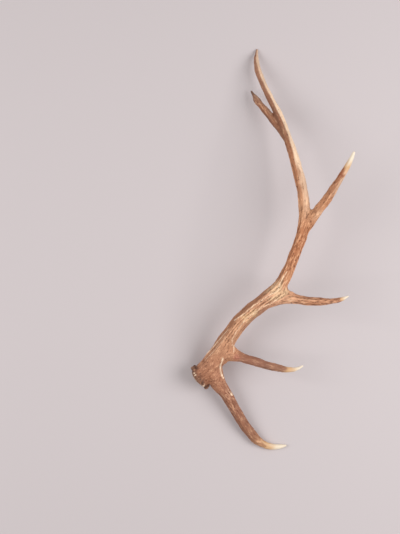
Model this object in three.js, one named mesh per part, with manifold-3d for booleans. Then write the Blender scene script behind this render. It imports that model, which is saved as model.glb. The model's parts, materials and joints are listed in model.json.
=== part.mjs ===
// Elk antler shed: one cast antler with its burr, four tines along the beam and a forked crown.
// It lies on a flat surface with its outer side up, touching at the burr, the brow tine and the crown tip.
// Millimetres, +Z up. +Y runs along the antler to the crown, and +X is the side that the tines point to.
// The origin is at the middle of the footprint, on the surface.
import * as THREE from "three";
import { mergeVertices } from "three/addons/utils/BufferGeometryUtils.js";
import Module from "manifold-3d";

const wasm = await Module();
wasm.setup();

const UP = new THREE.Vector3(0, 0, 1);

// Surface of the antler
const RING_STEP = 14; // between the cross-sections of a branch
const FLUTE_DEPTH = 2.6; // of the furrows that run along a branch
const FLUTE_SHARE = 0.12; // the most that a furrow takes of a thin branch's radius
const FLUTE_WANDER = 0.8; // how far a furrow drifts round the branch, in radians of its own wave
const FLUTE_WANDER_LENGTH = 75; // along the branch, for one radian of that drift
const TIP_ROUNDING = 0.6; // how far a tip's point stands past its last section, in radii
const FORK_GAP = 0.3; // between a tine and the stump that it stands on

// Burr: the rough ring round the seal, the face that parted from the skull
const BURR_PLACE = new THREE.Vector3(-197.6, -345.6, 35); // middle of the seal
const BURR_AXIS = new THREE.Vector3(0.8, 0.58, 0.2).normalize(); // from the seal up into the beam
const BURR_DIAMETER = 64;
const BURR_THICKNESS = 18;
const BURR_BEVEL = 6; // along the axis, at either edge of the ring
const BURR_ROOT = 6; // the buried cone that ties the ring to the beam
const BURR_SIDES = 24;
const SEAL_DIAMETER = 50;
const SEAL_FLAT_DIAMETER = 28; // the level middle of the seal
const SEAL_RISE = 4; // of that middle past the seal's edge
const NECK_DIAMETER = 56; // just above the ring
const PEARL_COUNT = 19; // knobs round the ring
const PEARL_DIAMETERS = [6, 11]; // smallest and largest
const PEARL_SCATTER = 2.4; // radians from one pearl's size to the next one's
const PEARL_LIFT = 2.5; // how far pearls stray along the burr's axis

// Branches. A route's rows are x, y, z and width, from the buried end to the tip. A branch's thickness
// across its width is depth times the width, and no more than thickest where it spreads into a web.
// A tine leaves the beam at the share of its route in forkAt.
const BRANCHES = {
  main_beam: {
    depth: 0.9,
    thickest: 50,
    sides: 24,
    flutes: 6,
    route: [
      [-180, -331, 40, 54],
      [-149, -292, 54, 55],
      [-104, -218, 86, 47],
      [-74, -179, 105, 45],
      [-36, -146, 124, 44],
      [-2, -118, 138, 43],
      [24, -86, 149, 35],
      [59, -5, 162, 30],
      [75, 39, 164, 32],
      [83, 83, 162, 32],
      [80, 130, 155, 31],
      [71.5, 186, 141.6, 29.5],
      [58, 241, 126, 26],
      [25.5, 346, 87, 22],
      [-20.5, 448, 47, 18.5],
      [-33.5, 490, 31, 17.5],
      [-36.5, 519, 17, 13],
      [-33, 546, 1.9, 5],
    ],
  },
  brow_tine: {
    depth: 0.9,
    thickest: 38,
    sides: 16,
    flutes: 4,
    forkAt: 0.25,
    route: [
      [-164, -292, 54, 21],
      [-156, -318, 49, 52],
      [-140, -353, 44, 44],
      [-117, -387, 38, 33],
      [-95, -425, 31, 29],
      [-74, -460, 24, 28],
      [-53, -490, 18, 28],
      [-33, -512, 14, 25],
      [-12, -526, 10, 20],
      [10, -531, 7.1, 16],
      [31, -530, 6.6, 12],
      [46, -527, 8, 5],
    ],
  },
  bez_tine: {
    depth: 0.95,
    thickest: 30,
    sides: 14,
    flutes: 4,
    forkAt: 0.28,
    route: [
      [-143, -254, 62, 24],
      [-123, -270, 66, 45],
      [-100, -277, 71, 37],
      [-74, -285, 78, 25],
      [-11, -303, 92, 24],
      [20, -310.5, 98, 19],
      [43, -314, 103, 15],
      [64, -313, 107, 11],
      [83, -303, 112, 4],
    ],
  },
  trez_tine: {
    depth: 0.95,
    thickest: 26,
    sides: 14,
    flutes: 4,
    forkAt: 0.36,
    route: [
      [-47, -155, 122, 24],
      [-16, -137, 136, 35],
      [13, -127, 141, 37],
      [32, -121, 145, 41],
      [50, -124.5, 149, 32],
      [66, -128.5, 153, 26],
      [94, -132, 157, 25],
      [122, -133.5, 161, 21.5],
      [148, -132.5, 165, 17],
      [168, -130, 168, 14],
      [183, -125, 170, 9],
      [195, -119, 172, 4],
    ],
  },
  royal_tine: {
    depth: 0.95,
    thickest: 26,
    sides: 14,
    flutes: 4,
    forkAt: 0.38,
    route: [
      [67, 15, 160, 18],
      [82, 53, 162, 28],
      [99, 80, 166, 31],
      [116, 101, 172, 28],
      [147, 144, 189, 24.5],
      [173, 188, 207, 18],
      [195, 229, 223, 12.5],
      [202, 247, 230, 7],
    ],
  },
  crown_tine: {
    depth: 0.95,
    thickest: 19,
    sides: 12,
    flutes: 3,
    forkAt: 0.44,
    route: [
      [47, 274, 110, 14],
      [37, 296, 102, 19],
      [23, 322, 88, 21],
      [7, 345, 74, 21],
      [-10, 368, 60, 21],
      [-25, 389, 47, 18.5],
      [-37, 408, 35, 14.5],
      [-50, 430, 22, 5],
    ],
  },
};

const FINISHES = {
  main_beam: { color: 0x96683f, roughness: 0.55, metalness: 0 },
  brow_tine: { color: 0x8f6240, roughness: 0.5, metalness: 0 },
  bez_tine: { color: 0x94673f, roughness: 0.5, metalness: 0 },
  trez_tine: { color: 0xa87549, roughness: 0.55, metalness: 0 },
  royal_tine: { color: 0xa9774a, roughness: 0.5, metalness: 0 },
  crown_tine: { color: 0x8a6140, roughness: 0.5, metalness: 0 },
};

// A closed three.js geometry as a solid that can be joined and cut.
function solidOf(geometry) {
  const bare = geometry.clone();
  bare.deleteAttribute("normal");
  bare.deleteAttribute("uv");
  const merged = mergeVertices(bare, 1e-3);
  const vertProperties = merged.attributes.position.array;
  const triVerts = new Uint32Array(merged.index.array);
  return new wasm.Manifold(new wasm.Mesh({ numProp: 3, vertProperties, triVerts }));
}

function geometryOf(solid) {
  const { vertProperties, triVerts } = solid.getMesh();
  const geometry = new THREE.BufferGeometry();
  geometry.setAttribute("position", new THREE.BufferAttribute(vertProperties, 3));
  geometry.setIndex(new THREE.BufferAttribute(triVerts, 1));
  geometry.computeVertexNormals();
  return geometry;
}

// The centre line of a branch and its width along that line, both read by the same parameter.
function linesOf({ route }) {
  const line = new THREE.CatmullRomCurve3(route.map(([x, y, z]) => new THREE.Vector3(x, y, z)));
  const girth = new THREE.SplineCurve(route.map((row, i) => new THREE.Vector2(i, row[3])));
  return { line, girth };
}

// A branch as a tube of oval, furrowed sections along its route, closed by a point at either end.
function branchGeometry(branch) {
  const { line, girth } = linesOf(branch);
  const { depth, thickest, sides, flutes } = branch;
  const rings = Math.round(line.getLength() / RING_STEP);
  const ringLength = line.getLength() / rings;
  const positions = [];
  for (let i = 0; i <= rings; i++) {
    const t = line.getUtoTmapping(i / rings);
    const centre = line.getPoint(t);
    const tangent = line.getTangent(t);
    const across = tangent.clone().cross(UP).normalize();
    const over = across.clone().cross(tangent);
    const radius = girth.getPoint(t).y / 2;
    const flatness = Math.min(depth, thickest / (2 * radius));
    const flute = Math.min(FLUTE_DEPTH, FLUTE_SHARE * radius);
    const drift = FLUTE_WANDER * Math.sin((i * ringLength) / FLUTE_WANDER_LENGTH);
    for (let j = 0; j < sides; j++) {
      const angle = (j / sides) * 2 * Math.PI;
      const reach = radius - (flute * (1 - Math.cos(flutes * angle + drift))) / 2;
      const corner = centre.clone();
      corner.addScaledVector(across, reach * Math.cos(angle));
      corner.addScaledVector(over, flatness * reach * Math.sin(angle));
      positions.push(...corner.toArray());
    }
  }
  const tipRadius = girth.getPoint(1).y / 2;
  const tip = line.getPoint(1).addScaledVector(line.getTangent(1), TIP_ROUNDING * tipRadius);
  positions.push(...line.getPoint(0).toArray(), ...tip.toArray());

  const faces = [];
  const [root, point] = [(rings + 1) * sides, (rings + 1) * sides + 1];
  for (let j = 0; j < sides; j++) {
    const next = (j + 1) % sides;
    faces.push(root, j, next);
    for (let i = 0; i < rings; i++) {
      const [a, b] = [i * sides + j, i * sides + next];
      faces.push(a, a + sides, b, b, a + sides, b + sides);
    }
    faces.push(rings * sides + j, point, rings * sides + next);
  }
  const geometry = new THREE.BufferGeometry();
  geometry.setAttribute("position", new THREE.Float32BufferAttribute(positions, 3));
  geometry.setIndex(faces);
  return geometry;
}

// The burr's ring and seal, turned about its own axis, with a rim of pearls.
function burrSolid() {
  const turn = new THREE.Quaternion().setFromUnitVectors(new THREE.Vector3(0, 1, 0), BURR_AXIS);
  const place = new THREE.Matrix4().compose(BURR_PLACE, turn, new THREE.Vector3(1, 1, 1));
  const ring = BURR_DIAMETER / 2;
  const top = SEAL_RISE + BURR_THICKNESS;
  const profile = [
    [0, 0],
    [SEAL_FLAT_DIAMETER / 2, 0],
    [SEAL_DIAMETER / 2, SEAL_RISE],
    [ring, SEAL_RISE + BURR_BEVEL],
    [ring, top - BURR_BEVEL],
    [NECK_DIAMETER / 2, top],
    [0, top + BURR_ROOT],
  ];
  const points = profile.map(([radius, height]) => new THREE.Vector2(radius, height));
  const lathe = new THREE.LatheGeometry(points, BURR_SIDES);
  let burr = solidOf(lathe.applyMatrix4(place));
  const [small, large] = PEARL_DIAMETERS;
  for (let i = 0; i < PEARL_COUNT; i++) {
    const angle = (i / PEARL_COUNT) * 2 * Math.PI;
    const size = small + (large - small) * (0.5 + 0.5 * Math.sin(PEARL_SCATTER * i));
    const height = SEAL_RISE + BURR_THICKNESS / 2 + PEARL_LIFT * Math.cos(PEARL_SCATTER * i);
    const pearl = new THREE.IcosahedronGeometry(size / 2, 1);
    pearl.translate(ring * Math.cos(angle), height, ring * Math.sin(angle));
    burr = burr.add(solidOf(pearl.applyMatrix4(place)));
  }
  return burr;
}

// A block that holds everything past a flat cut across a tine, shifted along the tine by shift.
function pastCut(branch, shift) {
  const { line } = linesOf(branch);
  const t = line.getUtoTmapping(branch.forkAt);
  const reach = 2 * line.getLength();
  const block = new THREE.BoxGeometry(reach, reach, reach);
  block.translate(0, 0, reach / 2 + shift);
  block.applyQuaternion(new THREE.Quaternion().setFromUnitVectors(UP, line.getTangent(t)));
  block.translate(...line.getPoint(t).toArray());
  return solidOf(block);
}

// Each tine is parted from its stump at the fork, and the stumps belong to the beam.
function antlerSolids() {
  const { main_beam: beam, ...tines } = BRANCHES;
  const solids = { main_beam: solidOf(branchGeometry(beam)).add(burrSolid()) };
  for (const [name, tine] of Object.entries(tines)) {
    const whole = solidOf(branchGeometry(tine));
    const stump = whole.subtract(pastCut(tine, -FORK_GAP / 2));
    solids[name] = whole.intersect(pastCut(tine, FORK_GAP / 2));
    solids.main_beam = solids.main_beam.add(stump);
  }
  return solids;
}

const antler = new THREE.Group();
for (const [name, solid] of Object.entries(antlerSolids())) {
  const mesh = new THREE.Mesh(geometryOf(solid), new THREE.MeshStandardMaterial(FINISHES[name]));
  mesh.name = name;
  antler.add(mesh);
}

const extent = new THREE.Box3().setFromObject(antler);
const middle = extent.getCenter(new THREE.Vector3());
antler.position.set(-middle.x, -middle.y, -extent.min.z);

export default antler;
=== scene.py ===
import json
import math
from itertools import product
from types import SimpleNamespace

import bmesh
import bpy
import numpy as np
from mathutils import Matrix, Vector
from mathutils.bvhtree import BVHTree
from mathutils.kdtree import KDTree


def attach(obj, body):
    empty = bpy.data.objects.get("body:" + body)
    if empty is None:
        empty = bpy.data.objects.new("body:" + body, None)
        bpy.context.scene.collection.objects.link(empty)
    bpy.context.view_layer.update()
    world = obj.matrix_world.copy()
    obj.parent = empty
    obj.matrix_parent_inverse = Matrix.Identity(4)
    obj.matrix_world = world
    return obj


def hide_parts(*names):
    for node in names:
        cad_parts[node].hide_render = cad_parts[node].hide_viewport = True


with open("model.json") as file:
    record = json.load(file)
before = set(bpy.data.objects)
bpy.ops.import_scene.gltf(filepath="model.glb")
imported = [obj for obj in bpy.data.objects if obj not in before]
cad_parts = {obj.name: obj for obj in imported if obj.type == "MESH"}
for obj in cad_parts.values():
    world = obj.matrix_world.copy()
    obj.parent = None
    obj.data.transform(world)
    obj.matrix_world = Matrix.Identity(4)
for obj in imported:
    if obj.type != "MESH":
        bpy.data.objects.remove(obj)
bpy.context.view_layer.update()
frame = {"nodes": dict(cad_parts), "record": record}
rng = np.random.default_rng(41)

# Bone: the six CAD branches run together as the one piece they grew as, without facets
bone = {
    "skinMesh": 0.0017,  # point spacing on the finished bone
    "webMesh": 0.003,  # on the copy whose crotches are filled
    "guideMesh": 0.004,  # and on the rough copy that the growth lines are drawn on
    "forkSink": 0.0015,  # how far a tine is sunk into its stump
    "webDraw": 0.0015,  # how far the filled copy is drawn in away from the crotches
    "webPasses": 120,
    "evenPasses": 40,
    "roughPasses": 6,  # the same on the two copies
    "evenIn": 0.5,  # each pass draws the points in this far, then lets them out again
    "evenOut": 0.53,
    "levelHollow": 0.3,  # how much of a hollow's curve may stay where the bone lies level
    "fillPace": 0.35,
}
crotches = {  # reach of each web in plan, tightest hollow left in it, then its plug: place, radius, height
    "browBez": (0.055, 0.03, (-0.124, -0.293, 0.062), 0.016, 0.012),
    "bez": (0.035, 0.014, (-0.0935, -0.2693, 0.073), 0.01, 0.01),
    "trez": (0.045, 0.02, (0.038, -0.1106, 0.148), 0.0105, 0.01),
    "royal": (0.045, 0.01, (0.1035, 0.097, 0.166), 0.005, 0.006),
    "crown": (0.02, 0.003, (0.008, 0.347, 0.075), 0.0015, 0.0015),
}


def unit(vectors):
    return vectors / np.maximum(np.linalg.norm(vectors, axis=-1, keepdims=True), 1e-12)


def smooth(low, high, values):
    t = np.clip((values - low) / (high - low), 0, 1)
    return t * t * (3 - 2 * t)


def pulled(items, field, width, kind):
    flat = np.empty(len(items) * width, kind)
    items.foreach_get(field, flat)
    return flat.reshape(-1, width)


def nodeShell(name):
    mesh = frame["nodes"][name].data
    mesh.calc_loop_triangles()
    spots = pulled(mesh.vertices, "co", 3, np.float32).astype(float)
    return spots, pulled(mesh.loop_triangles, "vertices", 3, np.int32)


def outerShell(mesh):  # drops what the overlaps leave inside the bone
    edges = pulled(mesh.edges, "vertices", 2, np.int32)
    part = np.arange(len(mesh.vertices))
    while True:
        low = part.copy()
        np.minimum.at(low, edges[:, 0], part[edges[:, 1]])
        np.minimum.at(low, edges[:, 1], part[edges[:, 0]])
        low = low[low]
        if (low == part).all():
            break
        part = low
    inner = np.flatnonzero(part != np.bincount(part).argmax())
    if len(inner):
        work = bmesh.new()
        work.from_mesh(mesh)
        work.verts.ensure_lookup_table()
        bmesh.ops.delete(work, geom=[work.verts[i] for i in inner], context="VERTS")
        work.to_mesh(mesh)
        work.free()


def skinOver(shells, spacing):  # one closed mesh over overlapping shells
    starts = np.cumsum([0] + [len(spots) for spots, tris in shells])
    corners = np.concatenate([tris + start for (spots, tris), start in zip(shells, starts)])
    rough = bpy.data.meshes.new("rough")
    rough.from_pydata(np.concatenate([spots for spots, tris in shells]).tolist(), [], corners.tolist())
    holder = bpy.data.objects.new("rough", rough)
    bpy.context.scene.collection.objects.link(holder)
    remesh = holder.modifiers.new("skin", "REMESH")
    remesh.mode = "VOXEL"
    remesh.voxel_size = spacing
    bpy.context.view_layer.update()
    seen = holder.evaluated_get(bpy.context.evaluated_depsgraph_get())
    mesh = bpy.data.meshes.new_from_object(seen)
    bpy.data.objects.remove(holder)
    bpy.data.meshes.remove(rough)
    outerShell(mesh)
    return skinArrays(mesh)


def skinArrays(mesh):
    mesh.calc_loop_triangles()
    spots = pulled(mesh.vertices, "co", 3, np.float32).astype(float)
    edges = pulled(mesh.edges, "vertices", 2, np.int32)
    tris = pulled(mesh.loop_triangles, "vertices", 3, np.int32)
    here = np.concatenate([edges[:, 0], edges[:, 1]])
    there = np.concatenate([edges[:, 1], edges[:, 0]])
    count = np.bincount(here, minlength=len(spots))
    return SimpleNamespace(mesh=mesh, spots=spots, tris=tris, here=here, there=there, count=count)


def around(skin, values):  # mean of each point's neighbours
    if values.ndim > 1:
        return np.stack([around(skin, column) for column in values.T], 1)
    return np.bincount(skin.here, values[skin.there], len(skin.count)) / skin.count


def blurred(skin, values, passes):
    for step in range(passes):
        values = (values + around(skin, values)) / 2
    return values


def faceCross(skin):
    a, b, c = (skin.spots[skin.tris[:, i]] for i in range(3))
    return np.cross(b - a, c - a)


def overCorners(skin, values):  # sums what the triangles hold at their corners
    corners = skin.tris.ravel()
    return np.stack([np.bincount(corners, np.repeat(v, 3), len(skin.spots)) for v in values.T], 1)


def outward(skin):
    return unit(overCorners(skin, faceCross(skin)))


def evened(skin, passes):  # takes facets off without shrinking
    for step in range(passes):
        skin.spots += bone["evenIn"] * (around(skin, skin.spots) - skin.spots)
        skin.spots -= bone["evenOut"] * (around(skin, skin.spots) - skin.spots)


def fillHollows(skin, near, radius, passes):  # lifts what is hollow, most of all across a level crotch
    picked = np.flatnonzero(near[skin.here] > 0)
    here, there = skin.here[picked], skin.there[picked]
    total = len(skin.spots)
    square = ((skin.spots[there] - skin.spots[here]) ** 2).sum(1).mean()
    for step in range(passes):
        if step % 5 == 0:  # the directions change slowly
            normals = outward(skin)
            level = np.stack([-normals[:, 1], normals[:, 0], np.zeros(total)], 1)
            steep = (level**2).sum(1)
        away = skin.spots[there] - skin.spots[here]
        far = (away**2).sum(1)
        weight = ((away * level[here]).sum(1) ** 2 / far) ** 2 + 1.001 - steep[here]
        bend = 2 * np.bincount(here, weight * (away * normals[here]).sum(1), total)
        bend /= np.bincount(here, weight * far, total) + 1e-12
        allowed = (bone["levelHollow"] + (1 - bone["levelHollow"]) * steep) / radius
        hollow = np.clip(bend - allowed, 0, None)
        skin.spots += normals * (bone["fillPace"] * square * near * hollow)[:, None]


def plug(place, radius, height):
    ball = bmesh.new()
    bmesh.ops.create_icosphere(ball, subdivisions=3, radius=1)
    spots = np.array([corner.co for corner in ball.verts]) * (radius, radius, height) + place
    tris = np.array([[corner.index for corner in face.verts] for face in ball.faces])
    ball.free()
    return spots, tris


def webbed(shells):  # a copy that is level with the bone in the crotches only
    plugs = [plug(*form) for reach, hollow, *form in crotches.values()]
    skin = skinOver(shells + plugs, bone["webMesh"])
    evened(skin, bone["roughPasses"])
    near = np.zeros(len(skin.spots))
    hollows = np.ones(len(skin.spots))
    for reach, hollow, place, *form in crotches.values():
        share = smooth(reach, 0.5 * reach, np.linalg.norm(skin.spots[:, :2] - place[:2], axis=1))
        hollows = np.where(share > near, hollow, hollows)
        near = np.maximum(near, share)
    fillHollows(skin, near, hollows, bone["webPasses"])
    evened(skin, bone["roughPasses"])
    return skin.spots - outward(skin) * (bone["webDraw"] * (1 - near))[:, None], skin.tris


sealMount = next(m for m in frame["record"]["mounts"] if m["name"] == "seal")
sealPlace = np.array(sealMount["pos_m"])
sealOut = np.array(sealMount["axis"])
branches = ["main_beam", "brow_tine", "bez_tine", "trez_tine", "royal_tine", "crown_tine"]
shells = {name: nodeShell(name) for name in branches}

tips = {}
roots = {"main_beam": sealPlace}
pieces = []
for name in branches:
    spots, tris = shells[name]
    tips[name] = spots[np.linalg.norm(spots - sealPlace, axis=1).argmax()]
    pieces.append((spots, tris))
    if name != "main_beam":
        fromTip = np.linalg.norm(spots - tips[name], axis=1)
        roots[name] = spots[fromTip > 0.9 * fromTip.max()].mean(0)
        stretch = 1 + bone["forkSink"] / fromTip.max()
        pieces.append((tips[name] + stretch * (spots - tips[name]), tris))
pieces.append(webbed(pieces))

skin = skinOver(pieces, bone["skinMesh"])
evened(skin, bone["evenPasses"])
guide = skinOver(pieces, bone["guideMesh"])
evened(guide, bone["roughPasses"])
print("bone run together:", len(skin.spots), "points,", len(skin.tris), "triangles")

# Growth: a potential that climbs from the seal to every tip, and the lines that run up it
growth = {
    "tipHold": 12,  # points held at each tip
    "tipNear": 0.007,  # where a line ends
    "sealHold": 0.03,  # round the seal
    "solves": 700,
    "stride": 0.002,  # along a line
    "strides": 600,  # in the longest line
    "straight": 0.2,  # a line ends where one stride turns so far from the last
    "crowding": 0.55,  # or where it comes this near to another, as a share of the gap
    "thinnest": 0.01,  # thickness where no far side is found
    "forkBlend": 60,  # passes that run one branch's values into the next
    "ridgeGap": (0.0026, 0.15),  # between ridges, plus this share of the branch's thickness
    "grainGap": (0.0022, 0.035),  # between the fine lines of the grain
    "ridgeLeast": 0.045,  # shortest ridge
    "grainLeast": 0.03,
}


def cornerCots(skin):  # each triangle side's share in the surface's stiffness
    here, there, share = [], [], []
    for i in range(3):
        a, b, c = (skin.spots[skin.tris[:, (i + k) % 3]] for k in range(3))
        cross = np.linalg.norm(np.cross(b - a, c - a), axis=1)
        here.append(skin.tris[:, (i + 1) % 3])
        there.append(skin.tris[:, (i + 2) % 3])
        share.append(((b - a) * (c - a)).sum(1) / np.maximum(2 * cross, 1e-12))
    return np.concatenate(here), np.concatenate(there), np.concatenate(share)


def climb(skin):  # conjugate gradients, held at the seal and the tips
    here, there, share = cornerCots(skin)
    total = len(skin.spots)

    def strain(values):
        flow = share * (values[here] - values[there])
        return np.bincount(here, flow, total) - np.bincount(there, flow, total)

    reach = np.linalg.norm(skin.spots - sealPlace, axis=1)
    free = reach > growth["sealHold"]
    reach[~free] = 0
    for tip in tips.values():
        held = np.linalg.norm(skin.spots - tip, axis=1).argsort()[: growth["tipHold"]]
        reach[held] = np.linalg.norm(tip - sealPlace)
        free[held] = False
    weight = np.maximum(np.bincount(here, share, total) + np.bincount(there, share, total), 1e-6)
    left = -strain(reach) * free
    step = left / weight
    power = (left * step).sum()
    for turn in range(growth["solves"]):
        pull = strain(step) * free
        pace = power / (step * pull).sum()
        reach += pace * step
        left -= pace * pull
        eased = left / weight
        last, power = power, (left * eased).sum()
        if power < 1e-16:
            break
        step = eased + power / last * step
    return reach


def flowUp(skin, reach):  # direction of growth at each point of the surface
    cross = faceCross(skin)
    slope = np.zeros_like(cross)
    for i in range(3):
        far = skin.spots[skin.tris[:, (i + 2) % 3]] - skin.spots[skin.tris[:, (i + 1) % 3]]
        slope += reach[skin.tris[:, i]][:, None] * np.cross(cross, far)
    slope = unit(slope)
    flow = blurred(skin, overCorners(skin, slope), 3)
    normals = outward(skin)
    return unit(flow - normals * (flow * normals).sum(1, keepdims=True))


def thickness(skin, tree):  # through the bone, straight in from each point
    through = np.empty(len(skin.spots))
    for i, (spot, normal) in enumerate(zip(skin.spots, outward(skin))):
        hit = tree.ray_cast(Vector(spot - 1e-4 * normal), Vector(-normal))[3]  # from just under the surface
        through[i] = hit or growth["thinnest"]
    return blurred(skin, through, 12)


def growthLines(gap, least):  # lines up the guide, kept apart from each other
    room = gap[0] + gap[1] * guideThick
    cell = room.max()
    cells = {}
    lines = []

    def cellOf(spot):
        return tuple(int(v // cell) for v in spot)

    def crowded(spot, clear):
        x, y, z = cellOf(spot)
        for near in product((x - 1, x, x + 1), (y - 1, y, y + 1), (z - 1, z, z + 1)):
            for other in cells.get(near, ()):
                if (other - spot).length_squared < clear * clear:
                    return True
        return False

    def run(start, way):
        spot = Vector(guide.spots[start])
        line = [spot]
        heading = None
        for step in range(growth["strides"]):
            spot, normal, face, far = guideTree.find_nearest(spot)
            corners = guide.tris[face]
            turned = Vector(guideFlow[corners].mean(0) * way)
            if heading and heading.dot(turned) < growth["straight"]:
                break
            heading = turned
            spot = spot + heading * growth["stride"]
            if np.linalg.norm(np.array(spot) - sealPlace) < growth["sealHold"]:
                break
            if crowded(spot, growth["crowding"] * room[corners[0]]):
                break
            line.append(spot)
            if min((spot - Vector(tip)).length for tip in tips.values()) < growth["tipNear"]:
                break
        return line

    for start in rng.permutation(len(guide.spots)):
        if crowded(Vector(guide.spots[start]), room[start]):
            continue
        line = run(start, -1)[:0:-1] + run(start, 1)
        if len(line) * growth["stride"] < least:
            continue
        lines.append(line)
        for spot in line:
            cells.setdefault(cellOf(spot), []).append(spot)
    return lines


def treeOver(spots):
    tree = KDTree(len(spots))
    for i, spot in enumerate(spots.tolist()):
        tree.insert(spot, i)
    tree.balance()
    return tree


def nearest(tree, spots):
    return np.array([tree.find(spot)[1] for spot in spots.tolist()])


def besideLines(lines, spots):  # each point's gap to its nearest line, which line, and how far off its end is
    places = np.array([spot for line in lines for spot in line])
    counts = [np.arange(len(line)) for line in lines]
    ends = np.concatenate([np.minimum(count, count[::-1]) for count in counts]) * growth["stride"]
    owner = np.repeat(np.arange(len(lines)), [len(line) for line in lines])
    heading = unit(np.concatenate([np.gradient(np.array(line), axis=0) for line in lines]))
    closest = nearest(treeOver(places), spots)
    away = spots - places[closest]
    away -= heading[closest] * (away * heading[closest]).sum(1, keepdims=True)
    return np.linalg.norm(away, axis=1), owner[closest], ends[closest]


guideTree = BVHTree.FromPolygons(guide.spots.tolist(), guide.tris.tolist())
guideFlow = flowUp(guide, climb(guide))
guideThick = thickness(guide, guideTree)
ridges = growthLines(growth["ridgeGap"], growth["ridgeLeast"])
grains = growthLines(growth["grainGap"], growth["grainLeast"])
print("growth lines:", len(ridges), "ridges,", len(grains), "lines of grain")

onGuide = nearest(treeOver(guide.spots), skin.spots)
flow = unit(blurred(skin, guideFlow[onGuide], 4))
thick = blurred(skin, guideThick[onGuide], 8)
skinTree = treeOver(skin.spots)
ahead = nearest(skinTree, skin.spots + 2 * bone["skinMesh"] * flow)
behind = nearest(skinTree, skin.spots - 2 * bone["skinMesh"] * flow)


def combed(width, length):  # random streaks along the growth, as wide and long as so many passes
    values = blurred(skin, rng.normal(size=len(skin.spots)), width)
    for step in range(length):
        values = values / 2 + (values[ahead] + values[behind]) / 4
    return (values - values.mean()) / values.std()


fleck = combed(3, 6)
vein = combed(6, 40)
shellSpots = np.concatenate([shells[name][0] for name in branches])
shellOwner = np.repeat(np.arange(len(branches)), [len(shells[name][0]) for name in branches])
owner = shellOwner[nearest(treeOver(shellSpots), skin.spots)]
belongs = (owner[:, None] == np.arange(len(branches))).astype(float)
belongs = blurred(skin, belongs, growth["forkBlend"])


def alongBranches(stops):  # values set along each branch, 0 at its root and 1 at its tip
    total = 0
    for number, name in enumerate(branches):
        if name not in stops:
            continue
        way = tips[name] - roots[name]
        share = (skin.spots - roots[name]) @ way / (way @ way)
        levels = np.array(list(stops[name].values()), float).reshape(len(stops[name]), -1)
        found = [np.interp(share, list(stops[name]), column) for column in levels.T]
        total = total + belongs[:, number, None] * np.stack(found, 1)
    return total.squeeze()


beamWay = unit(tips["main_beam"] - sealPlace)
along = np.zeros(len(skin.spots))  # how far up the antler each point lies
for number, name in enumerate(branches):
    upBranch = (skin.spots - roots[name]) @ unit(tips[name] - roots[name])
    along += belongs[:, number] * ((roots[name] - sealPlace) @ beamWay + upBranch)

# Relief: ridges and grain along the growth lines, pearls, pits, and the knobs of the burr
relief = {
    "ridgeHeight": 0.0012,
    "ridgeSink": 0.6,  # share of it that lies below the bone's own surface
    "ridgeBold": (0.35, 1),  # from the faintest ridge to the boldest
    "ridgeFaint": 0.3,  # how far a faint ridge sinks between the bold ones
    "ridgeFade": 0.03,  # at either end of a ridge
    "fullThickness": 0.04,  # of a branch with ridges at their full height
    "grainHeight": 0.0003,
    "grainBold": (0.2, 1),
    "fleckDepth": 0.00016,
    "veinHeight": 0.00022,
    "sway": 0.0005,  # slow swells of the surface
    "swayWave": (0.045, 24),  # their length, and how many run through each other
    "lineHeight": 0.0007,  # of the pale crests
    "pearls": 3000,
    "pearlRadius": (0.0015, 0.003),
    "pearlHeight": 0.28,  # share of its radius
    "pearlLength": 1.6,  # along the growth
    "pits": 1100,
    "pitRadius": (0.0012, 0.0024),
    "pitDepth": 0.22,
    "pitLength": 1.5,
    "sealRough": 0.0007,
    "sealDepth": (0.0065, 0.002),  # the seal fades out over these, down from its face
    "sealWidth": (0.03, 0.024),  # and out from its middle
    "burrReach": 0.03,  # from the seal's middle, along the beam
    "burrWidth": (0.06, 0.045),  # the burr fades out over these, off the beam's axis
    "burrFill": 0.004,  # tightest hollow between its knobs
    "burrPasses": 30,
    "burrEased": 0.6,  # how far its facets are eased
    "knobs": 150,
    "knobRadius": (0.003, 0.0056),
    "knobHeight": 0.62,
    "knobSink": 0.002,  # how far the burr sinks between them
}
ridgeShare = {  # how strongly the ridges stand, along each branch
    "main_beam": {0.04: 0.55, 0.1: 0.7, 0.16: 1.1, 0.28: 1.2, 0.36: 0.9, 0.5: 0.7, 0.95: 0.5},
    "brow_tine": {0.0: 0.4, 0.6: 0.45},
    "bez_tine": {0.0: 0.6, 0.5: 0.45},
    "trez_tine": {0.0: 1.0, 0.4: 0.7},
    "royal_tine": {0.0: 0.8, 0.5: 0.7},
    "crown_tine": {0.0: 0.8, 1.0: 0.7},
}
pitShare = {  # and how thickly the pits lie
    "main_beam": {0.05: 0.25, 0.2: 0.4, 0.3: 0.5, 0.36: 1.0, 0.48: 1.0, 0.54: 0.5, 0.62: 1.0, 0.95: 0.6},
    "brow_tine": {0.0: 0.2, 0.6: 0.35},
    "bez_tine": {0.0: 0.2, 0.6: 0.3},
    "trez_tine": {0.0: 0.4, 0.4: 1.5, 0.6: 6.0, 0.9: 6.0},
    "royal_tine": {0.0: 0.7, 0.6: 1.0},
    "crown_tine": {0.0: 0.6, 1.0: 1.0},
}
fleckShare = {  # and how strongly it is flecked
    "main_beam": {0.04: 1.15, 0.2: 1.1, 0.28: 1.2, 0.34: 1.7, 0.42: 1.5, 0.52: 1.4, 0.6: 0.8, 0.7: 0.6},
    "brow_tine": {0.0: 2.0, 0.4: 1.2},
    "bez_tine": {0.0: 1.0},
    "trez_tine": {0.0: 1.5},
    "royal_tine": {0.0: 1.1, 0.5: 0.9},
    "crown_tine": {0.0: 1.0},
}
swayShare = {name: {0.0: 1.0} for name in branches}  # how far the outline swells and sinks
swayShare["crown_tine"] = {0.1: 1.0, 0.35: 2.4, 0.9: 2.4}
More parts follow.
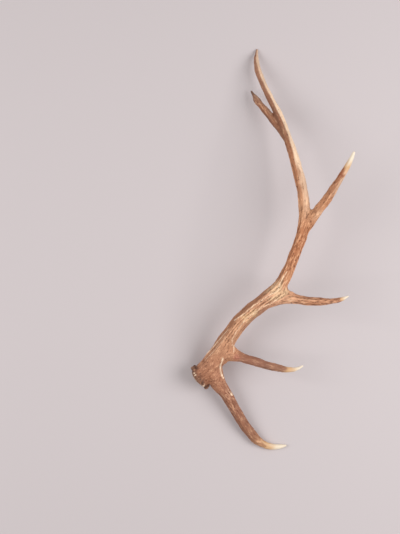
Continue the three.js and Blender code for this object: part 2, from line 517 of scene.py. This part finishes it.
tipSmooth = {  # how far the polish runs down from each tip
    "main_beam": 0.03,
    "brow_tine": 0.075,
    "bez_tine": 0.06,
    "trez_tine": 0.05,
    "royal_tine": 0.08,
    "crown_tine": 0.03,
}
paleLines = {  # worn crests: route in plan, half width, strength
    "webCrest": ([(-0.124, -0.29), (-0.1295, -0.314), (-0.1275, -0.332), (-0.121, -0.345)], 0.0034, 0.95),
    "webTrail": ([(-0.121, -0.345), (-0.1185, -0.356), (-0.1128, -0.368), (-0.106, -0.38)], 0.0013, 0.6),
    "bezCrotch": ([(-0.0945, -0.256), (-0.0945, -0.272)], 0.0024, 0.8),
    "lowLeft": ([(-0.1765, -0.291), (-0.15, -0.261), (-0.131, -0.238), (-0.108, -0.208)], 0.0013, 0.9),
    "lowLeftInner": ([(-0.171, -0.297), (-0.147, -0.27), (-0.131, -0.25), (-0.118, -0.232)], 0.0012, 0.75),
    "browStreak": ([(-0.104, -0.382), (-0.099, -0.392)], 0.0022, 1.0),
    "browTrail": ([(-0.099, -0.392), (-0.0945, -0.408), (-0.086, -0.427)], 0.0016, 0.35),
    "beamLeft": ([(-0.094, -0.188), (-0.067, -0.169), (-0.044, -0.148), (-0.025, -0.136), (-0.002, -0.12),
                  (0.017, -0.11), (0.023, -0.09), (0.031, -0.075), (0.04, -0.06)], 0.0018, 0.85),
    "beamRight": ([(-0.0985, -0.255), (-0.099, -0.238), (-0.087, -0.216), (-0.077, -0.201),
                   (-0.063, -0.183), (-0.044, -0.169), (-0.0225, -0.152), (-0.001, -0.143),
                   (0.017, -0.1325)], 0.0024, 0.75),
    "trezEdge": ([(0.043, -0.1355), (0.0545, -0.135), (0.066, -0.137)], 0.0016, 0.7),
    "crownEdge": ([(0.0114, 0.3467), (0.0199, 0.332)], 0.0013, 0.7),
}


def fromTips(lengths):  # 1 at a tip, 0 from its length on
    share = np.zeros(len(skin.spots))
    for name, length in lengths.items():
        gap = np.linalg.norm(skin.spots - tips[name], axis=1)
        share = np.maximum(share, 1 - gap / length)
    return np.clip(share, 0, 1)


def swell(wave, count):  # slow random waves, between about -1 and 1
    total = np.zeros(len(skin.spots))
    for turn in range(count):
        heading = unit(rng.normal(size=3)) * 2 * math.pi / (wave * rng.uniform(0.7, 1.5))
        total += np.sin(skin.spots @ heading + rng.uniform(0, 2 * math.pi))
    return total / math.sqrt(count / 2)


def bumps(chance, count, radii, length):  # rounded grains scattered over the surface
    rise = np.zeros(len(skin.spots))
    for centre in rng.choice(len(skin.spots), count, p=chance / chance.sum()):
        radius = rng.uniform(*radii) * rng.uniform(0.7, 1)
        reach = 2.2 * radius * length  # the rounded edge has run out by there
        found = [i for place, i, gap in skinTree.find_range(skin.spots[centre].tolist(), reach)]
        away = skin.spots[found] - skin.spots[centre]
        lengthwise = away @ flow[centre]
        across = np.linalg.norm(away - lengthwise[:, None] * flow[centre], axis=1)
        shape = radius * np.exp(-((lengthwise / (radius * length)) ** 2) - (across / radius) ** 2)
        rise[found] = np.maximum(rise[found], shape)
    return rise


def waves(gap, spacing):  # 1 on a growth line, -1 half way to the next
    halfGap = 0.5 * (spacing[0] + spacing[1] * thick)
    return np.cos(math.pi * np.clip(gap / halfGap, 0, 1))


def besideRoute(route, halfWidth):  # 1 on a line drawn over the upper side
    plan = skin.spots[:, :2]
    share = np.zeros(len(plan))
    for start, end in zip(np.array(route)[:-1], np.array(route)[1:]):
        way = end - start
        t = np.clip((plan - start) @ way / (way @ way), 0, 1)
        gap = np.linalg.norm(plan - start - t[:, None] * way, axis=1)
        share = np.maximum(share, np.exp(-((gap / halfWidth) ** 2)))
    return share * smooth(-0.1, 0.25, normals[:, 2])


fromSeal = (sealPlace - skin.spots) @ sealOut
offAxis = np.linalg.norm(skin.spots - sealPlace + fromSeal[:, None] * sealOut, axis=1)
nearBurr = smooth(relief["burrReach"], 0.4 * relief["burrReach"], fromSeal)
nearBurr = nearBurr * smooth(*relief["burrWidth"], offAxis)
onSeal = smooth(*relief["sealDepth"], fromSeal) * smooth(*relief["sealWidth"], offAxis)
fillHollows(skin, nearBurr, relief["burrFill"], relief["burrPasses"])
eased = blurred(skin, skin.spots, 4)
skin.spots += (relief["burrEased"] * nearBurr)[:, None] * (eased - skin.spots)
normals = outward(skin)
facing = unit(blurred(skin, normals, 12))  # which way the bone faces, without its fine relief
polish = smooth(0, 0.75, fromTips(tipSmooth))
bare = (1 - polish) * (1 - nearBurr)

offRidge, ridgeLine, ridgeEnd = besideLines(ridges, skin.spots)
bold = rng.uniform(*relief["ridgeBold"], len(ridges))[ridgeLine]
bold = bold * smooth(0, relief["ridgeFade"], ridgeEnd)
ridge = waves(offRidge, growth["ridgeGap"]) * bold - (1 - bold) * relief["ridgeFaint"]
offGrain, grainLine = besideLines(grains, skin.spots)[:2]
streak = waves(offGrain, growth["grainGap"]) * rng.uniform(*relief["grainBold"], len(grains))[grainLine]

full = np.clip(thick / relief["fullThickness"], 0.3, 1) * bare
ridged = alongBranches(ridgeShare)
pitted = alongBranches(pitShare)
pearlChance = bare * np.clip(1.3 - ridged, 0.1, 1)  # more of them where the ridges are faint
pearl = bumps(pearlChance, relief["pearls"], relief["pearlRadius"], relief["pearlLength"])
pitChance = bare * pitted * np.clip(0.7 - 0.6 * ridge, 0.05, 1)  # mostly between the ridges
pit = bumps(pitChance, relief["pits"], relief["pitRadius"], relief["pitLength"])
knobChance = nearBurr * (nearBurr > 0.02) * (1 - onSeal)
knob = bumps(knobChance, relief["knobs"], relief["knobRadius"], 1.0)
crest = np.zeros(len(skin.spots))
for route, halfWidth, strength in paleLines.values():
    crest = np.maximum(crest, strength * besideRoute(route, halfWidth))

rise = relief["ridgeHeight"] * (ridge - relief["ridgeSink"]) * full * ridged
rise += relief["grainHeight"] * streak * full
rise += relief["fleckDepth"] * np.clip(fleck, -2, 1) * bare
rise += relief["veinHeight"] * np.clip(vein, -2, 2) * bare
rise += relief["sway"] * swell(*relief["swayWave"]) * (1 - polish) * alongBranches(swayShare)
rise += relief["pearlHeight"] * pearl
rise -= relief["pitDepth"] * pit
rise += relief["knobHeight"] * (knob - relief["knobSink"]) * nearBurr * (1 - onSeal)
rise += relief["lineHeight"] * crest
rise += relief["sealRough"] * blurred(skin, rng.normal(size=len(rise)), 1) * onSeal
skin.spots += normals * rise[:, None]
skin.spots[:, 2] = np.maximum(skin.spots[:, 2], 0)
print("relief raised: between %.2f and %.2f mm" % (1000 * rise.min(), 1000 * rise.max()))

# Tint: each branch's own browns, then a paler side facing right, painted shade along the darker edges, and
# what is worn, flushed or stained
tints = {
    "main_beam": {
        0.0: (172, 117, 88),
        0.05: (176, 121, 91),
        0.14: (194, 141, 107),
        0.21: (206, 151, 114),
        0.28: (202, 147, 115),
        0.33: (191, 132, 95),
        0.42: (178, 113, 75),
        0.48: (180, 118, 80),
        0.54: (192, 139, 103),
        0.62: (180, 121, 85),
        0.74: (157, 104, 75),
        0.84: (149, 100, 75),
        0.97: (166, 119, 94),
    },
    "brow_tine": {0.0: (158, 104, 78), 0.3: (148, 97, 73), 0.6: (153, 103, 76), 0.8: (190, 142, 106)},
    "bez_tine": {0.0: (160, 108, 84), 0.4: (146, 100, 80), 0.75: (159, 112, 87)},
    "trez_tine": {0.0: (202, 150, 117), 0.3: (188, 130, 96), 0.8: (184, 128, 96)},
    "royal_tine": {0.0: (190, 132, 95), 0.4: (174, 117, 83), 0.75: (166, 106, 71)},
    "crown_tine": {0.0: (168, 116, 88), 0.45: (172, 114, 82), 0.75: (142, 97, 76), 1.0: (104, 77, 64)},
}
sides = {  # the way a side faces, its hue, where it begins and is full, and its share along the branches; all but the pale side are painted shade on edges
    # paler where the bone faces right and up, set by its facing
    "paleRightSide": ((0.9, 0.1, 0.45), (252, 220, 188), (0.22, 0.6), {
        "main_beam": {0.5: 0.0, 0.58: 0.5, 0.68: 0.88, 0.86: 0.85, 0.92: 0.7, 0.98: 0.55},
        "royal_tine": {0.2: 0.0, 0.5: 0.45, 0.8: 0.5},
        "crown_tine": {0.0: 0.35, 0.3: 0.15},
    }),
    # painted shade: darker along the edge facing left and up, on the beam and the bez
    "outerEdgeShade": ((-0.75, 0.62, 0.15), (146, 94, 64), (0.35, 0.8), {
        "main_beam": {0.1: 0.0, 0.16: 0.65, 0.3: 0.65, 0.4: 0.3, 0.5: 0.0},
        "bez_tine": {0.0: 0.0, 0.2: 0.35, 0.7: 0.3},
    }),
    # painted shade: darker along the edge facing right and down, on the mid-beam and the trez root
    "innerEdgeShade": ((0.7, -0.68, 0.1), (156, 108, 88), (0.45, 0.85), {
        "main_beam": {0.14: 0.0, 0.19: 0.6, 0.26: 0.6, 0.31: 0.0},
        "trez_tine": {0.0: 0.0, 0.2: 0.3},
    }),
    # painted shade: darker along the edge facing left and down, on the upper beam and the crown tine
    "crownEdge": ((-0.75, -0.6, 0.1), (104, 66, 46), (0.3, 0.75), {
        "main_beam": {0.7: 0.0, 0.75: 0.4, 0.82: 0.4, 0.86: 0.0},
        "crown_tine": {0.0: 0.6, 0.3: 0.5, 0.5: 0.2},
    }),
    # painted shade: darker along the trez tine's edge facing up
    "trezEdge": ((0.05, 0.9, 0.25), (128, 84, 60), (0.45, 0.85), {
        "trez_tine": {0.1: 0.0, 0.3: 0.55, 0.8: 0.4},
    }),
    # painted shade: darker along the brow tine's edge facing left and down
    "browEdgeShade": ((-0.8, -0.58, 0.15), (126, 82, 62), (0.35, 0.8), {
        "brow_tine": {0.0: 0.2, 0.2: 0.5, 0.6: 0.4, 0.75: 0.0},
    }),
}
patches = {  # place in plan, radius, hue and strength
    "trezFork": ((0.017, -0.112), 0.024, (238, 206, 164), 0.6),
    "beamCreamLow": ((-0.063, -0.183), 0.011, (238, 200, 152), 0.5),
    "beamCream": ((-0.044, -0.168), 0.01, (238, 204, 156), 0.5),
    "bezFlush": ((-0.088, -0.285), 0.012, (172, 96, 80), 0.6),
    "royalStain": ((0.1765, 0.1855), 0.0075, (146, 74, 40), 0.8),
    "burrDarkUpper": ((-0.197, -0.316), 0.009, (88, 60, 47), 0.7),
    "burrDarkLower": ((-0.168, -0.368), 0.005, (68, 42, 30), 0.8),
}
burrHues = {  # hue and strength
    "rim": ((126, 86, 65), 0.85),
    "crease": ((66, 42, 32), 0.75),
    "worn": ((236, 208, 180), 1.0),
}
wornKnobs = {  # place in plan, and radius
    "upper": ((-0.1985, -0.333), 0.0055),
    "lower": ((-0.1765, -0.363), 0.0055),
}
tipIvory = {  # how far the ivory runs down from each rubbed tip
    "brow_tine": 0.084,
    "bez_tine": 0.068,
    "trez_tine": 0.032,
    "royal_tine": 0.068,
}
wear = {  # how the stain and the other marks lie on the tint
    "finePasses": 14,  # blur that tells the fine relief from the rest
    "broadPasses": 160,
    "fine": 0.5,  # how far the stain follows the fine relief, the broad one, the flecks and the veins
    "broad": 0.2,
    "fleck": 0.3,
    "vein": 0.3,
    "ragged": 0.09,  # edge of a side's hue
    "sidePits": 0.7,  # how far that hue hides the pits, the stain and the flecks
    "sideStain": 0.65,
    "sideFlecks": 0.35,
}


def paint(red, green, blue):  # screen colour to light
    part = np.array([red, green, blue]) / 255
    return np.where(part < 0.04045, part / 12.92, ((part + 0.055) / 1.055) ** 2.4)


def dabbed(tint, hue, share):
    return tint + (paint(*hue) - tint) * np.clip(share, 0, 1)[:, None]


def burrDabbed(tint, name, share):
    hue, strength = burrHues[name]
    return dabbed(tint, hue, strength * share)


def above(passes):  # how far each point stands out from the blurred bone
    return ((skin.spots - blurred(skin, skin.spots, passes)) * normals).sum(1)


def planGap(place):
    return np.linalg.norm(skin.spots[:, :2] - place[:2], axis=1)


normals = outward(skin)
upper = smooth(0.0, 0.5, normals[:, 2])
fineRise = above(wear["finePasses"])
broadRise = above(wear["broadPasses"])
fineMark = np.clip(fineRise / fineRise[polish < 0.1].std(), -2.5, 2.5)
broadMark = np.clip((broadRise - broadRise.mean()) / broadRise[polish < 0.1].std(), -2, 2)
inCrotch = np.zeros(len(skin.spots))
for reach, hollow, place, *form in crotches.values():
    inCrotch = np.maximum(inCrotch, smooth(reach, 0.3 * reach, planGap(place)))
stain = wear["fine"] * fineMark + wear["broad"] * broadMark * (1 - inCrotch)
stain += wear["fleck"] * fleck
stain += wear["vein"] * vein * ridged
stain *= np.clip(0.2 + 0.75 * ridged, 0, 1.1) * (1 - 0.7 * polish) * (1 - 0.5 * nearBurr)

flecked = alongBranches(fleckShare) * (1 - 0.4 * nearBurr)
sunk = smooth(0.0002, 0.0018, pit)
tint = alongBranches({name: {at: paint(*hue) for at, hue in stops.items()} for name, stops in tints.items()})
# each side is dabbed on by which way the bone faces: painted shade on the dark edges, and the paler right
# side
for way, hue, (begins, whole), stops in sides.values():
    turned = facing @ unit(np.array(way)) + wear["ragged"] * vein
    share = smooth(begins, whole, turned) * alongBranches(stops)
    tint = dabbed(tint, hue, share)
    sunk *= 1 - wear["sidePits"] * share
    stain *= 1 - wear["sideStain"] * share
    flecked *= 1 - wear["sideFlecks"] * share
tint = burrDabbed(tint, "rim", nearBurr)
for place, radius, hue, strength in patches.values():
    share = smooth(1.3, 0.5, planGap(place) / radius + 0.2 * vein + 0.2 * fleck) * upper
    tint = dabbed(tint, hue, strength * share)
tint = burrDabbed(tint, "crease", nearBurr * (1 - onSeal) * smooth(0.0026, 0.0006, knob))
for place, radius in wornKnobs.values():
    share = smooth(1.2, 0.6, planGap(place) / radius + 0.2 * fleck) * smooth(0.0024, 0.004, knob)
    tint = burrDabbed(tint, "worn", share * upper)
ivory = fromTips(tipIvory)
ivory += (0.07 * vein + 0.05 * fleck) * (1 - fromTips(tipSmooth))
marks = {
    "stain": stain,
    "ivory": ivory,
    "seal": onSeal,
    "along": along,
    "crest": crest,
    "pit": sunk,
    "flecked": flecked,
}

antler = bpy.data.objects.new("antler", skin.mesh)
bpy.context.scene.collection.objects.link(antler)
skin.mesh.name = "antler"
skin.mesh.vertices.foreach_set("co", skin.spots.astype(np.float32).ravel())
for name, values in marks.items():
    layer = skin.mesh.attributes.new(name, "FLOAT", "POINT")
    layer.data.foreach_set("value", values.astype(np.float32))
tintLayer = skin.mesh.attributes.new("tint", "FLOAT_COLOR", "POINT")
opaque = np.column_stack([tint, np.ones(len(tint))])
tintLayer.data.foreach_set("color", opaque.astype(np.float32).ravel())
flowLayer = skin.mesh.attributes.new("flow", "FLOAT_VECTOR", "POINT")
flowLayer.data.foreach_set("vector", flow.astype(np.float32).ravel())
skin.mesh.shade_smooth()
skin.mesh.update()
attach(antler, "root")
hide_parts(*branches)
print("tinted, with marks for", ", ".join(marks))

# Finish of the bone
finish = {
    "grainCycle": 0.06,  # along the growth, from one laying of the grain to the next
    "grainStretch": 4.5,
    "cloudSize": 0.03,
    "dustSize": 0.003,
    "fleckSize": 0.0045,
    "grainSize": 0.0026,
    "poreSize": 0.0011,
    "sealPoreSize": 0.0016,
    "speckCells": 330.0,  # to a metre
    "weights": {"dust": 2.0, "grain": 7.5, "fleck": 7.0},  # of the fine colour
    "rubbedScale": 1.5,  # how much paler than the tint a crest is rubbed
    "roughness": (0.58, 0.34),  # of the bone, and of its polished tips
    "furrowRough": 0.16,
    "dustRough": 0.12,
    "specular": 0.4,
    "bump": (0.6, 0.001),  # strength and depth
    "furrow": (100, 58, 36),
    "crest": (248, 208, 168),
    "worn": (254, 226, 194),
    "speck": (88, 50, 34),
    "ivoryRoot": (216, 174, 130),
    "ivoryTip": (238, 222, 198),
    "seal": (186, 156, 128),
    "sealPit": (112, 76, 58),
}


def add(tree, kind, links=None, **values):  # a node, its own settings, and its sockets by name or number
    node = tree.nodes.new(kind)
    for key, value in values.items():
        setattr(node, key, value)
    for socket, value in (links or {}).items():
        if isinstance(value, bpy.types.NodeSocket):
            tree.links.new(value, node.inputs[socket])
        else:
            node.inputs[socket].default_value = value
    return node


def mark(tree, name):
    return add(tree, "ShaderNodeAttribute", attribute_name=name).outputs["Fac"]


def ranged(tree, value, low, high, toLow=0.0, toHigh=1.0, kind="SMOOTHSTEP"):
    links = {"Value": value, "From Min": low, "From Max": high, "To Min": toLow, "To Max": toHigh}
    return add(tree, "ShaderNodeMapRange", links, interpolation_type=kind).outputs["Result"]


def worked(tree, operation, first, second=0.0, third=0.0):
    return add(tree, "ShaderNodeMath", {0: first, 1: second, 2: third}, operation=operation).outputs[0]


def scaled(tree, vector, share):
    return add(tree, "ShaderNodeVectorMath", {0: vector, "Scale": share}, operation="SCALE").outputs[0]


def laidOver(tree, under, over, share):
    links = {"Factor": share, 6: under, 7: over}
    return add(tree, "ShaderNodeMix", links, data_type="RGBA").outputs[2]


def noise(tree, place, size, detail=3.0, rough=0.55):
    links = {"Vector": place, "Scale": 1 / size, "Detail": detail, "Roughness": rough}
    return add(tree, "ShaderNodeTexNoise", links).outputs["Fac"]


def finishHue(name):
    return (*paint(*finish[name]), 1.0)


def grownPlaces(tree, place):  # two layings of places drawn out along the growth, and the second one's share
    along = mark(tree, "along")
    flow = add(tree, "ShaderNodeAttribute", attribute_name="flow").outputs["Vector"]
    reach = finish["grainCycle"] * (1 - 1 / finish["grainStretch"])
    places = []
    for start in (0.0, 0.5):
        turn = worked(tree, "FRACT", worked(tree, "MULTIPLY_ADD", along, 1 / finish["grainCycle"], start))
        back = worked(tree, "MULTIPLY_ADD", turn, reach, -0.5 * reach)
        links = {0: place, 1: scaled(tree, flow, back)}
        places.append(add(tree, "ShaderNodeVectorMath", links, operation="SUBTRACT").outputs[0])
    return places, worked(tree, "PINGPONG", worked(tree, "MULTIPLY", turn, 2.0), 1.0)


def grown(tree, layings, texture):  # a texture laid both ways and run together
    (first, second), share = layings
    return add(tree, "ShaderNodeMix", {"Factor": share, 2: texture(first), 3: texture(second)}).outputs[0]


def specks(tree, place, dust):  # in some of the cells only, and of many sizes
    cells = add(tree, "ShaderNodeTexVoronoi", {"Vector": place, "Scale": finish["speckCells"]})
    chosen = add(tree, "ShaderNodeSeparateColor", {0: cells.outputs["Color"]})
    ragged = worked(tree, "MULTIPLY_ADD", dust, 0.7, cells.outputs["Distance"])
    size = ranged(tree, chosen.outputs[1], 0.0, 1.0, 0.4, 0.72)
    spot = ranged(tree, worked(tree, "SUBTRACT", ragged, size), 0.1, -0.15)
    return worked(tree, "MULTIPLY", spot, ranged(tree, chosen.outputs[0], 0.62, 0.72))


def boneFinish():
    material = bpy.data.materials.new("antlerBone")
    material.use_nodes = True
    tree = material.node_tree
    shader = tree.nodes["Principled BSDF"]
    place = add(tree, "ShaderNodeTexCoord").outputs["Object"]
    tint = add(tree, "ShaderNodeAttribute", attribute_name="tint").outputs["Color"]
    stain, ivory, seal = (mark(tree, name) for name in ("stain", "ivory", "seal"))
    crest, pit, flecked = (mark(tree, name) for name in ("crest", "pit", "flecked"))
    layings = grownPlaces(tree, place)
    cloud = noise(tree, place, finish["cloudSize"], 4)
    dust = noise(tree, place, finish["dustSize"], 2, 0.7)
    fleck = grown(tree, layings, lambda spot: noise(tree, spot, finish["fleckSize"], 2, 0.6))
    grain = grown(tree, layings, lambda spot: noise(tree, spot, finish["grainSize"], 3, 0.6))
    speck = grown(tree, layings, lambda spot: specks(tree, spot, dust))
    rubbed = worked(tree, "ADD", ivory, worked(tree, "MULTIPLY_ADD", cloud, 0.3, -0.15))
    rough = ranged(tree, rubbed, 0.6, 0.2)

    # brown settles in the furrows and is rubbed off the crests
    textures = {"dust": dust, "grain": grain, "fleck": fleck}
    fine = -0.5 * sum(finish["weights"].values())  # so that it swings both ways
    for name, weight in finish["weights"].items():
        fine = worked(tree, "MULTIPLY_ADD", textures[name], weight, fine)
    fine = worked(tree, "MULTIPLY", fine, flecked)
    height = worked(tree, "MULTIPLY_ADD", fine, rough, stain)
    colour = scaled(tree, tint, ranged(tree, cloud, 0.3, 0.7, 0.88, 1.12, "LINEAR"))
    colour = laidOver(tree, colour, finishHue("furrow"), ranged(tree, height, -0.2, -2.2, 0.0, 0.7))
    paler = laidOver(tree, scaled(tree, tint, finish["rubbedScale"]), finishHue("crest"), 0.4)
    colour = laidOver(tree, colour, paler, ranged(tree, height, 0.4, 2.4, 0.0, 0.8))
    wornEdge = worked(tree, "MULTIPLY_ADD", fine, 0.22, crest)
    worn = worked(tree, "MULTIPLY", ranged(tree, wornEdge, 0.15, 1.1), crest)
    colour = laidOver(tree, colour, finishHue("worn"), worn)
    pitEdge = worked(tree, "MULTIPLY_ADD", fine, -0.15, pit)
    dark = worked(tree, "MULTIPLY", ranged(tree, pitEdge, 0.3, 0.9), pit)
    dark = worked(tree, "MAXIMUM", dark, worked(tree, "MULTIPLY", speck, 0.65))
    colour = laidOver(tree, colour, finishHue("speck"), worked(tree, "MULTIPLY", dark, 0.75))

    # the rubbed tips
    colour = laidOver(tree, colour, finishHue("ivoryRoot"), ranged(tree, rubbed, 0.2, 0.42))
    colour = laidOver(tree, colour, finishHue("ivoryTip"), ranged(tree, rubbed, 0.4, 0.75))

    # the seal's spongy bone
    pores = noise(tree, place, finish["sealPoreSize"], 3, 0.6)
    sealPores = worked(tree, "MULTIPLY", seal, ranged(tree, pores, 0.46, 0.68))
    colour = laidOver(tree, colour, finishHue("seal"), seal)
    colour = laidOver(tree, colour, finishHue("sealPit"), sealPores)
    tree.links.new(colour, shader.inputs["Base Color"])

    gloss = ranged(tree, rubbed, 0.3, 0.8, *finish["roughness"])
    gloss = worked(tree, "MULTIPLY_ADD", ranged(tree, height, 0.2, -2.0), finish["furrowRough"], gloss)
    gloss = worked(tree, "MULTIPLY_ADD", dust, finish["dustRough"], gloss)
    tree.links.new(gloss, shader.inputs["Roughness"])
    shader.inputs["Specular IOR Level"].default_value = finish["specular"]

    # what is too fine for the mesh: pores, dust, grain and flecks, sunk at the specks and gone at the tips
    pores = noise(tree, place, finish["poreSize"], 3, 0.6)
    skinRise = worked(tree, "MULTIPLY_ADD", dust, 0.4, grain)
    skinRise = worked(tree, "MULTIPLY_ADD", pores, 0.3, skinRise)
    skinRise = worked(tree, "ADD", skinRise, fleck)
    skinRise = worked(tree, "MULTIPLY_ADD", dark, -0.3, skinRise)
    skinRise = worked(tree, "MULTIPLY", skinRise, worked(tree, "MULTIPLY_ADD", rough, 0.9, 0.1))
    strength, depth = finish["bump"]
    bump = add(tree, "ShaderNodeBump", {"Strength": strength, "Distance": depth, "Height": skinRise})
    tree.links.new(bump.outputs["Normal"], shader.inputs["Normal"])
    return material


skin.mesh.materials.clear()
skin.mesh.materials.append(boneFinish())
print("finish laid on the bone")

# Stage: a pale plain floor, soft light and the camera straight above
stage = {
    "floorSize": 80.0,
    "floorHue": (200, 191, 192),
    "floorRough": 0.9,
    "eye": (-0.18399, -0.04829, 3.4),
    "lens": 84.45,
    "sky": 0.42,
    "skyHue": (1.0, 0.985, 0.98, 1.0),
}
lamps = {  # place, aim, width and watts
    "key": ((2.1, -0.1, 2.4), (0.0, 0.0, 0.1), 2.0, 72.0),
    "fill": ((-2.3, -0.1, 2.5), (0.0, 0.0, 0.1), 2.0, 46.0),
}


def makeStage():
    half = stage["floorSize"] / 2
    mesh = bpy.data.meshes.new("floor")
    corners = [(-half, -half, 0), (half, -half, 0), (half, half, 0), (-half, half, 0)]
    mesh.from_pydata(corners, [], [(0, 1, 2, 3)])
    floor = bpy.data.objects.new("floor", mesh)
    bpy.context.scene.collection.objects.link(floor)
    material = bpy.data.materials.new("floor")
    material.use_nodes = True
    shader = material.node_tree.nodes["Principled BSDF"]
    shader.inputs["Base Color"].default_value = (*paint(*stage["floorHue"]), 1.0)
    shader.inputs["Roughness"].default_value = stage["floorRough"]
    mesh.materials.append(material)

    world = bpy.data.worlds.new("studio")
    world.use_nodes = True
    back = world.node_tree.nodes["Background"]
    back.inputs["Color"].default_value = stage["skyHue"]
    back.inputs["Strength"].default_value = stage["sky"]
    bpy.context.scene.world = world
    for name, (place, aim, width, watts) in lamps.items():
        lamp = bpy.data.lights.new(name, "AREA")
        lamp.size = width
        lamp.energy = watts
        holder = bpy.data.objects.new(name, lamp)
        holder.location = place
        holder.rotation_euler = (Vector(aim) - Vector(place)).to_track_quat("-Z", "Y").to_euler()
        bpy.context.scene.collection.objects.link(holder)

    lens = bpy.data.cameras.new("camera")
    lens.lens = stage["lens"]
    camera = bpy.data.objects.new("camera", lens)
    camera.location = stage["eye"]
    bpy.context.scene.collection.objects.link(camera)
    bpy.context.scene.camera = camera
    bpy.context.scene.view_settings.view_transform = "Standard"


makeStage()
print("stage set")
